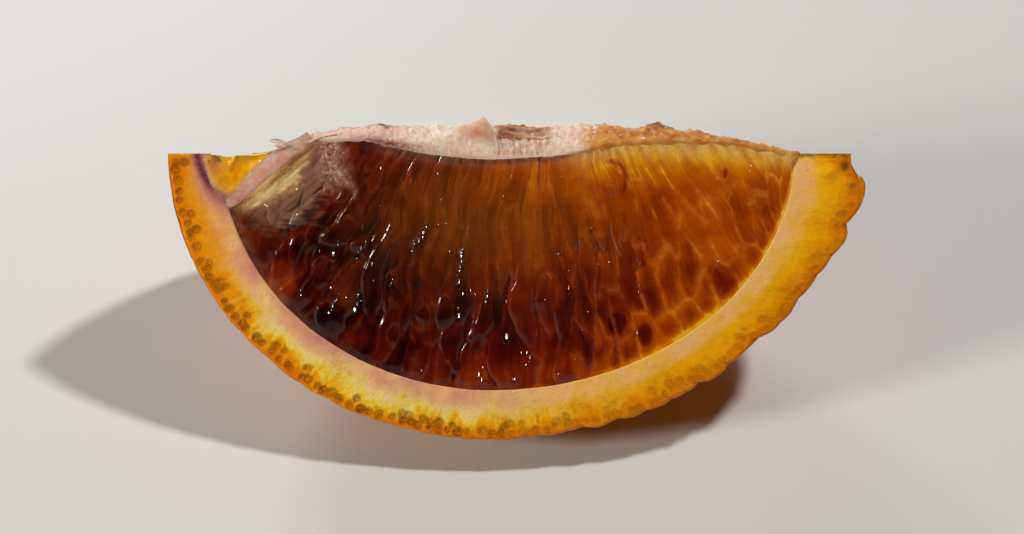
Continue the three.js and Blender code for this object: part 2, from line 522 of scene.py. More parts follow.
def gland_spots(share, depth, seed):
    """The oil glands that the cut went through: how dark they make a rind face's grid of places, the rings
    round them, and their hollows. They are darkest below the blossom end and fade to the stem."""
    rng = np.random.default_rng(seed)
    spots, rings, hollows = np.zeros((3, *depth.shape))
    lengths = lengths_along(*skin_outline(share))
    reach = 14  # how many rows of the grid a gland can touch, each way
    place = 1.0
    while place < lengths[-1] - 1:
        row = int(np.searchsorted(lengths, place))
        rows = np.s_[max(0, row - reach) : min(len(share), row + reach + 1)]
        darkness = float(np.interp(place, [0, 18, 26, 46, 56, 100], [0.9, 0.9, 1, 1, 0.55, 0.35]))
        crowd = 0.6 + 0.5 * sin(place / 1.1 + 2 * sin(place / 4.7))
        for below, chance in ((rng.uniform(0.62, 0.95), 1), (rng.uniform(1.35, 1.9), 0.62 * crowd)):
            size = rng.uniform(0.36, 0.54)
            strength = darkness * rng.uniform(0.6, 1)
            shift = rng.uniform(-0.3, 0.3)
            squeeze = rng.uniform(0.85, 1.2)
            if rng.uniform() > chance:
                continue
            along = (lengths[rows] - place - shift)[:, None] * squeeze
            away = hypot(along, depth[rows] - below) / size
            spots[rows] = maximum(spots[rows], 0.8 * strength * fade(away, 0.75, 1))
            rings[rows] = maximum(rings[rows], strength * bell(away, 0.95, 0.17))
            hollows[rows] = maximum(hollows[rows], strength * fade(away, 0.5, 1))
        place += rng.uniform(0.85, 1.3)
    return spots, rings, hollows


def rind_face(side, share, steps, seed):
    """One cut face of the rind, as a grid from the skin (column 0) in to the flesh, with its values."""
    skin_x, skin_down = skin_outline(share)
    flesh_x, flesh_down = flesh_outline(share)
    if side == BACK:
        skin_x = skin_x - stem_chip(skin_x, skin_down)
    lump = skin_lumps(on_face(side, skin_x, skin_down, 0 * skin_x), skin_x) * ends_fade(share)
    way_x, way_down = skin_x - flesh_x, skin_down - flesh_down
    thick = hypot(way_x, way_down)
    skin_x = skin_x + lump * way_x / thick
    skin_down = skin_down + lump * way_down / thick
    inward = np.append(0.99 * linspace(0, 1, steps - 1) ** 1.5, 1)[None]
    x = lerp(skin_x[:, None], flesh_x[:, None], inward)
    down = lerp(skin_down[:, None], flesh_down[:, None], inward)
    rough = partial(ripple, x, down)
    depth = inward * thick[:, None]
    spots, rings, hollows = gland_spots(share, depth, seed)

    out = 0.1 * rough(3, seed + 1) + 0.05 * rough(0.8, seed + 2)
    out = out - 0.2 * fade(depth, 0, 0.35) - 0.12 * hollows
    out = out + 0.35 * bell(x, 31.2, 0.8) * bell(down, 1.9, 0.6)
    out = out + 0.3 * bell(x, 33.4, 0.5) * bell(down, 3, 0.5)
    out = out * (1 - 0.8 * smooth(inward, 0.7, 0.95)) * ends_fade(share)[:, None]
    out = out + 0.2 * smooth(inward, 0.35, 0.93) * smooth(down, 0.2, 2.4)
    out[:, -1] -= 0.9

    torn_edge = fade(down + 0.25 * rough(0.7, seed + 5), 0.15, 0.55)
    torn_edge = torn_edge * smooth(x, 26.5, 28) * fade(x, 33.2, 34.2)
    values = dict(
        depth=depth,
        across=linspace(0, 100, len(share))[:, None] + 0 * depth,
        outward=depth + 30 * seed,
        cut=smooth(depth, 0, 0.2),
        blossomward=fade(x + 1.5 * rough(4, seed + 9), -31, -24),
        stemward=smooth(x + 0.5 * down + 4 * rough(5, seed + 3), 6, 26),
        pink=pink_blush(x, down, depth / thick[:, None], seed + 4),
        vein=0 * x,
        gland=maximum(spots, 0.75 * torn_edge),
        ring=rings,
        scar=bell(hypot((x - 32.9) / 0.45, (down - 1.3) / 0.6), 0, 1),
        pit=0 * x,
        cream=smooth(inward, 0.56, 0.72) * fade(inward, 0.94, 1) * np.ones_like(x),
    )
    if side == FRONT:
        vein_x = -32.05 + 0.3 * maximum(0, down - 0.4) ** 1.35
        vein = bell(x - vein_x, 0, 0.55) * fade(down, 1.8, 4.6)
        round_corner = hypot((x + 28.7) / 2.9, (down - 0.6) / 4.3)
        under_corner = bell(round_corner, 1, 0.16) * smooth(down, 1.5, 3.5)
        values["vein"] = unit(0.95 * vein + 0.45 * under_corner)
        beside_corner = 0.9 * bell(round_corner, 1.05, 0.32) * smooth(down, -0.5, 0.8)
        values["pink"] = maximum(values["pink"], beside_corner)
    return on_face(side, x, down, out), values


def pink_blush(x, down, inward, seed):
    """Where the albedo is stained pink: near the flesh, at the blossom end and underneath it."""
    near_flesh = smooth(inward, 0.5, 0.9) * fade(x, -8, 8)
    at_end = 0.55 * fade(x, -31, -26) * smooth(inward, 0.35, 0.7)
    patches = 0.55 + 0.7 * ripple(x, down, 3, seed) + 0.3 * ripple(x, down, 1, seed + 1)
    return unit(0.9 * maximum(near_flesh, at_end) * patches)


def ends_fade(share):
    """0 at the two ends of the fruit and 1 away from them."""
    return smooth(sin(pi * share), 0, 0.1)


def skin_lumps(points, x):
    """The peel's lumps: rounded, with creases between them, and coarser towards the stem."""
    coarser = lerp(0.25, 1, smooth(x, -8, 16))
    away, _, mark = nearest_seed(points + 0.5 * noise(points, 2.5, 10)[..., None], 2.7, 11)
    domes = 0.12 - 0.38 * (away / 1.6) ** 2
    return coarser * (domes + 0.1 * mark) + 0.05 * noise(points, 1.1, 12)


def round_axis(x, radius, angle):
    """Points at a distance from the axis, turned by an angle from straight down."""
    x, y, z = np.broadcast_arrays(x, radius * sin(angle), AXIS_Z - radius * cos(angle))
    return np.stack([x, y, z], -1)


def rind():
    share = even_shares(skin_outline, RIND_SECTIONS)
    front, front_values = rind_face(FRONT, share, RIND_STEPS, 20)
    back, back_values = rind_face(BACK, share, RIND_STEPS, 40)

    skin_x, skin_radius = (part[:, None] for part in skin_outline(share))
    angle = linspace(-FACE_ANGLE, FACE_ANGLE, SKIN_STEPS)[None, 1:-1]
    x = skin_x - stem_chip(skin_x, skin_radius) * smooth(angle, -FACE_ANGLE, FACE_ANGLE)
    bare = round_axis(x, skin_radius, angle)
    away, _, mark = nearest_seed(bare, 1.15, 13)
    pit = fade(away, 0.12, 0.5) * (0.5 + 0.5 * mark)
    lumps = ends_fade(share)[:, None] * (skin_lumps(bare, x) - 0.09 * pit)
    skin = round_axis(x, skin_radius + lumps, angle)

    # The inner side, hidden under the flesh, closes the rind.
    flesh_x, flesh_down = (part[:, None] for part in flesh_outline(share))
    turn = linspace(FACE_ANGLE, -FACE_ANGLE, HIDDEN_STEPS)[None, 1:-1]
    hidden = round_axis(flesh_x, 0.97 * maximum(0, flesh_down - 0.6), turn)

    points = np.concatenate([front[:, ::-1], skin, back, hidden], 1)
    points[..., 2] = maximum(points[..., 2], 0)
    scar = smooth(x, 20, 24) * fade(skin_radius, 2.2, 3.2)
    values = {}
    for key in front_values:
        on_skin = {"pit": pit, "scar": scar}.get(key, 0 * x)
        inside = np.full(hidden.shape[:2], 1.0 if key == "cut" else 0.0)
        values[key] = np.concatenate([front_values[key][:, ::-1], on_skin, back_values[key], inside], 1)
    add_piece("rind", points, rind_material(), values, grid_faces(*points.shape[:2], around=True), weld=True)


# ---- The flesh ----


def core_place(rim_x, rim_down):
    """Where on the core the line that ends at a place on the rim starts."""
    to_wall = -4 * fade(rim_down, 5.6, 16.5) * (rim_x < 0)
    to_stem = 11.5 * fade(rim_down, 0.5, 17) * (rim_x > 0)
    return 0.58 * rim_x + 0.4 + to_wall + to_stem


def fan_out(side, lines, steps, seed):
    """The main segment's coordinates on a cut face. Lines run from the core out to the peel: along is how far
    round the peel a line ends, reach its length, share 0 at the core and 1 at the peel, beyond how far past
    the peel's inner edge a place is, and spread how far apart the lines are, as a share of that at the peel.
    sway and slide are how far the sacs waver across their lines and along them."""
    edge_x, edge_down = flesh_outline(linspace(0.074, 0.986, 4000))
    lengths = lengths_along(edge_x, edge_down)
    length = lengths[-1]
    line_step = length / (lines - 1)
    along = linspace(0, length, lines)[:, None]
    rim_x = np.interp(along, lengths, edge_x)
    rim_down = np.interp(along, lengths, edge_down)
    core_x = core_place(rim_x, rim_down)
    core_down = -front_top(core_x) if side == FRONT else 0 * core_x
    share = linspace(-0.02, 1.04, steps)[None]
    out_x, out_down = rim_x - core_x, rim_down - core_down
    reach = hypot(out_x, out_down)
    past = share > 1
    beyond = (share - 1) * where(past, 0.9 / 0.04, reach)

    # Past the rim the lines go on square to it, so that the flesh ends in a clean edge.
    along_x, along_down = np.gradient(rim_x, axis=0), np.gradient(rim_down, axis=0)
    rim_step = hypot(along_x, along_down)
    x = rim_x + beyond * where(past, -along_down / rim_step, out_x / reach)
    x = x + 0.45 * fade(length - along, 0, 1.5)
    down = rim_down + beyond * where(past, along_x / rim_step, out_down / reach)
    spread = abs(np.gradient(x, axis=0) * out_down - np.gradient(down, axis=0) * out_x) / reach / line_step
    rough = partial(ripple, x, down)
    sway = 0.9 * rough(7, seed) + 0.3 * rough(2.2, seed + 1)
    slide = 0.8 * rough(5, seed + 2) + 0.3 * rough(1.6, seed + 3)
    return SimpleNamespace(
        x=x, down=down, along=along, share=share, reach=reach, beyond=beyond, spread=spread,
        sway=sway, slide=slide, rim_x=rim_x, length=length, line_step=line_step,
    )


def sac_layout(fan, seed):
    """The sacs that lie on top: big ones with round ends at the peel, pointed ones over the middle, slim ones
    from the core, and short plump ones at the blossom end. start and end are shares of the way out, lift is
    how high a sac lies, and point is how pointed its outer end is."""
    rng = np.random.default_rng(seed)
    sacs = []
    for spacing, start, end, half_width, bulge, lift, point, left_out, until in (
        (3.1, 0.50, 1.08, 2, 1.2, -0.15, 0.3, 0, 8),
        (3.3, 0.60, 1.06, 1.7, 1, -0.15, 0.35, 0, 8),
        (3, 0.40, 0.92, 1.5, 1, 0, 0.65, 0, 8),
        (3.2, 0.30, 0.80, 1.3, 0.8, 0, 0.8, 0.25, 9),
        (2.3, 0.10, 0.66, 1.1, 0.6, 0.05, 0.9, 0.25, 10),
        (2.6, 0.15, 0.58, 1, 0.5, 0.05, 0.9, 0.3, 10),
        (2.4, -0.05, 0.52, 0.95, 0.45, 0.04, 0.9, 0, 14),
        (1.9, -0.10, 0.40, 0.8, 0.35, 0.02, 0.8, 0, 14),
        (1.9, -0.10, 0.30, 0.75, 0.3, 0, 0.7, 0, 14),
        (3.3, 0.72, 0.99, 1.35, 0.85, 0.1, 0.45, 0, -1),
        (3.4, 0.55, 0.82, 1.2, 0.85, 0.15, 0.55, 0, -4),
        (3.6, 0.40, 0.66, 1.1, 0.7, 0.15, 0.6, 0.2, -6),
    ):
        along = rng.uniform(0, spacing)
        while along < fan.length:
            here = float(np.interp(along, fan.along[:, 0], fan.rim_x[:, 0]))
            glossy = float(np.interp(here, [-30, -22, 2, 12, 28], [0.8, 1, 1, 0.6, 0.4]))
            sac = SimpleNamespace(
                along=along + rng.normal(0, 0.25 * spacing),
                start=start + rng.normal(0, 0.07),
                end=end + rng.normal(0, 0.06),
                half_width=half_width * rng.uniform(0.75, 1.25),
                bulge=bulge * rng.uniform(0.5, 1.3) * glossy,
                lift=lift + rng.normal(0, 0.1),
                bend=rng.normal(0, 0.5),
                point=float(clip(point + rng.normal(0, 0.15), 0.2, 1)),
                tone=rng.normal(0, 1),
                flat=rng.uniform(),
            )
            if rng.uniform() >= left_out and here < until:
                sacs.append(sac)
            along += spacing * rng.uniform(0.7, 1.3)
    return sacs


def cut_cells(fan, seed):
    """Gives the fan its relief, as if all sacs were cut across: round cells at the peel, longer ones inwards.
    seam is the distance to the nearest seam between two sacs, and tone is that of the sac on top."""
    deep = (1 - fan.share) * fan.reach - fan.slide
    outwards = 4.2 * np.log1p(maximum(deep, -1) / 4.2)
    border, mark = flat_cells((fan.along + fan.sway) / 2.3, outwards / 2.5, 1, seed)
    fan.seam = border * 2.4
    fan.height = -0.42 + 0.3 * (1 - np.exp(-fan.seam / 0.5)) + 0.12 * (mark - 0.5)
    fan.tone = 3.2 * (mark - 0.5)


def lay(fan, sac):
    """Lays one sac over the fan's relief."""
    touched = 6  # how far from its line a sac can reach, in millimetres
    low = max(0, int((sac.along - touched) / fan.line_step))
    high = min(len(fan.along), int((sac.along + touched) / fan.line_step) + 2)
    if high <= low:
        return
    window = np.s_[low:high]
    travel = (fan.share + fan.slide[window] / fan.reach[window] - sac.start) / (sac.end - sac.start)
    inside = (travel > 0) & (travel < 1)
    travel = clip(travel, 1e-4, 1 - 1e-4)
    widest = 0.62
    tail = (minimum(travel, widest) / widest) ** 0.75
    head = unit((1 - travel) / (1 - widest))
    head = lerp(np.sqrt(1 - (1 - head) ** 2), head**0.9, sac.point)
    half = maximum(1e-3, sac.half_width * where(travel < widest, tail, head))
    off = (fan.along[window] - sac.along) * fan.spread[window] + fan.sway[window]
    across = (off - sac.bend * sin(pi * travel)) / half
    dome = np.sqrt(unit(1 - across**2))
    dome = lerp(dome, minimum(1, dome * 1.5), sac.flat)
    slim = unit(half / sac.half_width) ** 0.6
    covered = inside & (abs(across) < 1)
    here = where(covered, sac.lift + sac.bulge * (dome * slim - 0.5), -9)
    before = fan.height[window]
    on_top = here > before
    step_seam = 2.2 * abs(here - before)
    own_seam = minimum((1 - abs(across)) * half, step_seam)
    fan.seam[window] = where(on_top, own_seam, minimum(fan.seam[window], step_seam))
    fan.height[window] = where(on_top, here, before)
    fan.tone[window] = where(on_top, sac.tone, fan.tone[window])


def round_sac(x, down):
    """How far from the middle of the one round sac near the crest a place is; the sac's edge is at 1."""
    return hypot((x - 9.5) / 1.35, (down - 2.7) / 1.9)


def pigment_at(x, down):
    """How much of the red pigment the flesh holds: most at the blossom end and towards the peel."""
    pigment = lerp(0.92, 0.46, smooth(x - 0.15 * down, -8, 20))
    pigment = pigment + 0.05 * smooth(down, 9, 17) * fade(x, 6, 14)
    pigment = pigment + 0.4 * bell(x + 19.5 - 0.25 * (down - 12), 0, 1.7) * bell(down, 12, 5.5)
    yellow_top = 0.33 * smooth(x, 1, 13) * fade(down, -0.5, 4.4)
    brown_top = 0.14 * bell(x, -5, 9) * fade(down, 0, 8)
    golden_top = 0.24 * bell(x, 3, 9) * fade(down, 2.5, 7)
    # Painted glow: less pigment along the bottom rim, so the flesh there looks lit through from the white
    # albedo behind it.
    painted_glow_rim = 0.3 * bell(x, 0, 12) * smooth(down, 20, 23.5)
    stemward_rim = 0.05 * smooth(x, 3, 8) * smooth(down, 14, 20)
    pigment = pigment - yellow_top - brown_top - golden_top - painted_glow_rim - stemward_rim
    for at_x, at_down, width, height, depth in (
        # Soft clouds: where, how far they spread each way, and how much darker they are.
        (-16, 13, 3.5, 6, 0.22),
        (-1, 8, 8, 5, -0.12),
        (-3.5, 16, 5, 4.5, -0.1),
        (9.3, 11.5, 2.8, 4.5, 0.1),
    ):
        pigment = pigment + depth * bell(x, at_x, width) * bell(down, at_down, height)
    for at_x, at_down, half_width, half_length, depth in (
        # Single cells with a plain edge.
        (10.1, 17.8, 1, 1.2, 0.24),
        (12.9, 19, 0.8, 1.3, 0.2),
        (19.6, 13.2, 1.1, 1.8, 0.1),
        (25.2, 6.8, 1, 1.5, 0.14),
        (20.9, 1.9, 0.25, 0.6, 0.3),
        (-23.8, 13.4, 1.7, 2.8, -0.26),
    ):
        away = hypot((x - at_x) / half_width, (down - at_down) / half_length)
        pigment = pigment + depth * fade(away, 0.7, 1.1)
    return pigment + 0.3 * bell(round_sac(x, down), 1.05, 0.13) * smooth(x - 0.5 * down, 8.3, 9.3)


def haze_at(x, down):
    """Where thin membranes veil the sacs and make them brown: over the middle, under the core."""
    return 0.55 * bell(x, -3, 10) * bell(down, 6.5, 6) + 0.06 * bell(x, 6, 8) * bell(down, 8, 8)


def wall_place(x, down):
    """How far along the corner segment's wall a place is, from its outer end, and how far from its line."""
    from_x, from_down = x - WALL_X, down - WALL_DOWN
    return WALL_COS * from_x - WALL_SIN * from_down, WALL_SIN * from_x + WALL_COS * from_down


def torn_layers(x, down):
    """What covers the sacs beside the wall: the membrane, the thin film that runs out from it, and the tuft
    of torn pith."""
    along, off = wall_place(x, down)
    ragged = 0.5 * ripple(x, down, 1.3, 81) + 0.25 * ripple(x, down, 0.5, 82)
    streaks = ripple(along - off, off + along, (0.5, 2.5), 89)
    width = 0.3 + 1.6 * bell(along, 6.6, 2.9)
    within = smooth(along, 0.3, 2.4) * fade(along, 9, 11.6)
    membrane = within * fade(off + ragged + 0.4 * streaks, width - 1, width + 0.5)
    reach = 1.6 + 2.6 * bell(along, 6, 4)
    film = smooth(along, 0.3, 3) * fade(along, 11, 14)
    film = film * fade(off + 1.3 * ragged + 1.2 * streaks, reach - 1, reach + 1.6)
    tilt = x + 18.3 - 0.14 * (down - 1.5)
    low = 4 + 1.6 * ripple(x, down * 0, (0.8, 1), 83)
    tuft = fade(abs(tilt) + 0.7 * ragged, 0.7, 2.2) * fade(down + ragged, low - 0.7, low + 0.7)
    return membrane, film * (1 - membrane), tuft * (1 - membrane)


def segment_values(fan, seed):
    """The values that the flesh material reads, for a plain segment."""
    x, down = fan.x, fan.down
    across = fan.along + fan.sway
    outward = fan.share * fan.reach
    fibre = partial(ripple, across, outward)
    below_crest = down + front_top(x)
    streaks = 0.8 + 0.5 * fibre((0.8, 8), seed)
    patchy = 0.6 + 0.6 * fibre((1.5, 1), seed + 1)
    veil = fade(x, -24, -15) * smooth(outward, fan.reach - 1.5, fan.reach - 0.2) * patchy
    threads = smooth(fibre((0.4, 7), seed + 3), 0.3, 0.75) * fade(outward, 6, 15)
    threads = threads * (0.6 + 0.5 * fibre((1.5, 4), seed + 4))
    core = smooth(fan.seam, 0.15, 0.9) * smooth(x, 2, 10) * smooth(down, 8, 15)
    at_rim = 0.3 * bell((1 - fan.share) * fan.reach, -0.2, 0.6) * smooth(x, 4, 14)
    tone = 0.055 * fan.tone * (1 - 0.65 * smooth(x, 1, 13) * fade(down, 2, 8))
    under_crest = bell(below_crest, 0.2, 0.7) * fade(x, 4, 8) * smooth(x, -17, -12)
    return dict(
        pigment=unit(pigment_at(x, down) + tone + 0.14 * core - at_rim),
        haze=unit(haze_at(x, down) * streaks),
        seam=clip(fan.seam * lerp(1, 0.5, smooth(x, 2, 12)), 0, 2),
        walls=lerp(0.35, 1, smooth(x, 2, 16)),
        veil=unit(0.25 * veil + 0.35 * threads + 0.6 * under_crest * streaks),
        membrane=0.6 * bell(below_crest, 0.1, 1.3) * smooth(x, 3, 8),
        strand=0.5 + 0.3 * fibre((0.7, 3), seed + 2),
        across=across,
        outward=outward,
    )


def cover_wall_side(x, down, out, values):
    """Lays the torn membrane, film and tuft beside the corner segment's wall over the sacs."""
    rough = partial(ripple, x, down)
    membrane, film, tuft = torn_layers(x, down)
    along, off = wall_place(x, down)
    pleats = ripple(along, off + 0.3 * rough(2, 87), (4.5, 0.38), 84)
    # The pale yellow band and strands along the membrane are partly its own colour and partly a painted
    # highlight.
    layers = 0.3 + 0.45 * bell(off, 0.5, 0.6) - 0.2 * smooth(off, 0.8, 1.8) + 0.5 * pleats
    hairs = 0.6 * ripple(x + 0.4 * rough(0.7, 88), down, (0.18, 1.1), 86) + 0.55 * rough(0.32, 90)
    out = lerp(out, 0.42 + 0.05 * pleats + 0.08 * rough(0.9, 85) - 0.1 * off, membrane)
    values["membrane"] = maximum(values["membrane"], 0.9 * membrane)
    values["veil"] = maximum(values["veil"], film * (0.6 + 0.3 * pleats))
    values["fuzz"] = 0.9 * tuft * clip(0.85 + 0.8 * rough(1.6, 96), 0.35, 1)
    strand = lerp(values["strand"], layers, membrane)
    values["strand"] = unit(lerp(strand, 0.5 + 0.45 * hairs, tuft))
    return lerp(out, 0.5 + 0.05 * hairs, 0.8 * tuft)


def segment(name, side, lines, steps, seed, material):
    fan = fan_out(side, lines, steps, seed + 30)
    cut_cells(fan, seed)
    for sac in sac_layout(fan, seed):
        lay(fan, sac)
    x, down, share, beyond = fan.x, fan.down, fan.share, fan.beyond
    flatter = lerp(1, 0.35, smooth(x, 4, 14)) * lerp(0.3, 1, smooth(share, 0.15, 0.5))
    level = lerp(0.42, 0.2, maximum(smooth(share, 0.35, 1), smooth(x, 0, 12) * smooth(down, 0, 6)))
    out = level + 0.8 * flatter * fan.height + 0.05 * ripple(x, down, 1.6, seed + 6)
    out = lerp(level + 0.4 * (out - level), out, smooth(0.4 * fan.slide - beyond, -0.1, 0.9))
    under_peel = 0.5 * smooth(beyond, 0.05, 0.6)
    out = lerp(out, 0.22, smooth(beyond, -0.25, 0)) - under_peel
    out = out - 0.8 * fade(share, -0.02, -0.004)
    values = segment_values(fan, seed + 5)
    if side == FRONT:
        out = out + 0.16 * unit(1 - round_sac(x, down) ** 2)
        out = cover_wall_side(x, down, out, values)
    else:
        out = out - 0.5 * fade(share, 0, 0.25)
    at_ends = smooth(fan.along, -0.3, 1) * smooth(fan.length - fan.along, 0, 1.6)
    edge = where(x < 0, 0.2 if side == FRONT else -0.1, -0.03)
    out = lerp(edge - under_peel, out, at_ends)
    add_piece(name, on_face(side, x, down, out), material, values)
    return fan, out, values


def beads(name, side, fan, out, values, glints, count, seed, material):
    """Drops of juice on the sacs. Each one's top slopes up towards the peel, which is how it catches the key
    light. glints are (x, down, length) of rows of great ones; count more are scattered."""
    rng = np.random.default_rng(seed)
    lines, steps = fan.x.shape
    share_step = 1.06 / (steps - 1)
    places = []
    for x, down, length in glints:
        nearest = np.argmin((fan.x - x) ** 2 + (fan.down - down) ** 2)
        line, step = nearest // steps, nearest % steps
        travel = 0.0
        while travel < max(0.1, length - 0.3):
            beside = int(round(rng.normal(0, 0.14) / fan.line_step))
            further = int(round(travel / (fan.reach[line, 0] * share_step)))
            size = 0.09 + 0.21 * rng.uniform() ** 1.4
            places.append((min(lines - 1, max(0, line + beside)), min(steps - 1, step + further), size))
            travel += size + rng.uniform(0.05, 0.55)
    for _ in range(count):
        line, step = int(lines * rng.uniform(0.05, 0.97)), int(steps * rng.uniform(0.08, 0.92))
        bigger = fade(fan.x[line, step], -4, 10)
        places.append((line, step, float(lerp(rng.uniform(0.04, 0.09), rng.uniform(0.05, 0.14), bigger))))

    rings, around = 7, 14
    reach = linspace(0.02, 1, rings)[:, None]
    turn = linspace(0, 2 * pi, around, endpoint=False)[None]
    grids = []
    for line, step, size in places:
        aside = rng.uniform(0.6, 1.1) * size * reach * cos(turn)
        onward = rng.uniform(1.2, 2.2) * size * reach * sin(turn)
        steep, tilt = rng.normal(0.79, 0.11), rng.normal(-0.31, 0.11)
        near_line = clip(np.round(line + aside / (fan.spread[line, step] * fan.line_step)), 0, lines - 1)
        near_step = clip(np.round(step + onward / (fan.reach[line] * share_step)), 0, steps - 1)
        ground = out[near_line.astype(int), near_step.astype(int)]
        top = ground.mean() + 0.5 * size + steep * onward + tilt * aside + 0.12 * size * (1 - reach**2)
        height = lerp(top, ground - 0.05, smooth(reach, 0.7, 1))
        points = on_face(side, fan.x[line, step] + aside, fan.down[line, step] + onward, height)
        clear = {"seam": 2}  # no seam runs through a drop
        grids.append((points, {key: grid[line, step] for key, grid in values.items()} | clear))
    add_joined(name, grids, material)


# ---- The corner segment, its wall, and the crest ----


def corner_segment(name, side, material):
    """The small segment at the blossom end: cut across low down, its juice drawn back into a hollow."""
    x = linspace(-31.8, -24.2, 120)[None]
    share = linspace(-0.08, 1, 76)[:, None]
    middle, left_reach, right_reach, depth = -28.8, 2.3, 4.2, 3.85
    top = 0.25 + 0.95 * bell(x, -28.9, 0.55) + 0.12 * ripple(x, 0 * x, 0.8, 91)
    off = x - middle
    right = (maximum(0, off) / right_reach) ** 1.6
    lowest = depth * where(off < 0, np.sqrt(unit(1 - (off / left_reach) ** 2)), unit(1 - right))
    down = lerp(top, maximum(top + 0.3, lowest) + 1.5, share)
    x = x + 0 * share
    rough = partial(ripple, x, down)
    inside = where(off < 0, 1 - hypot(off / left_reach, down / depth), 1 - right - down / depth)
    inside = left_reach * inside + 0.12 * rough(0.7, 95)
    hollow = smooth(inside, -0.1, 1.2) * lerp(0.45, 1, smooth(down - top, -0.2, 1.2))
    out = 0.04 + 0.2 * smooth(down, 0.2, 2.4) - 0.62 * hollow
    out = out + 0.06 * rough(1.3, 92) * hollow - 0.2 * smooth(-inside, 0.1, 1)
    ridge = np.stack([x, 0 * down, AXIS_Z - (top + 0.1) * DROP + 0 * down], -1)
    points = lerp(on_face(side, x, down, out), ridge, smooth(share, 0, -0.06)[..., None])
    paler = bell(x, -30.3, 0.8) * bell(down, 1.2, 1.2)
    values = dict(
        pigment=unit(0.01 + 0.08 * paler + 0.07 * rough(1.8, 93)),
        seam=2,
        membrane=maximum(0.25 * fade(inside, 0, 0.4), 0.3 * paler),
        fuzz=smooth(-inside, -0.05, 0.3),
        strand=0.56 + 0.12 * rough(0.8, 94),
        across=0.4 * (x + 31.6),
        outward=0.4 * down,
    )
    add_piece(name, points, material, values)


def wall(name, side, material):
    """The wall between the corner segment and the main one, from the peel up to the crest."""
    spread = linspace(-1, 1, 26)[None]
    along = linspace(-0.1, 11.6 if side == FRONT else 9.2, 150)[:, None]
    line = 0.7 * smooth(along, 8.5, 11.5) + 0.25 * fade(along, 2, 5)
    line = line - 0.1 * sin(pi * unit(along / 10.5)) - 1.45
    half = lerp(1, 1.1, smooth(along, 0.5, 9)) + 0.12 * ripple(along, 0 * along, 1.6, 101)
    off = line + half * spread
    x = WALL_X + WALL_COS * along + WALL_SIN * off
    down = WALL_DOWN - WALL_SIN * along + WALL_COS * off
    rough = partial(ripple, x, down)
    fibres = ripple(along + 0.3 * rough(0.8, 104), off, (1.4, 0.3), 105)
    out = 0.16 + 0.2 * (1 - spread**2) + 0.05 * rough(0.9, 102) + 0.03 * fibres
    out = out - 0.16 * fade(along, 0, 2.2) - 0.1 * smooth(along, 10, 11.2)
    if side == BACK:
        out = out - 0.3 * smooth(along, 2, 3.5)
    values = dict(
        blush=unit(lerp(1.2, 0.9, smooth(along, 0, 9)) + 0.3 * fibres + 0.3 * spread),
        stain=unit(0.15 * fade(along, 0, 4) + 0.08 * fibres - 0.1 * spread),
        gold=0.18 * fade(along, 1, 5) * smooth(spread, -0.4, 0.8),
    )
    add_piece(name, on_face(side, x, down, out), material, values)


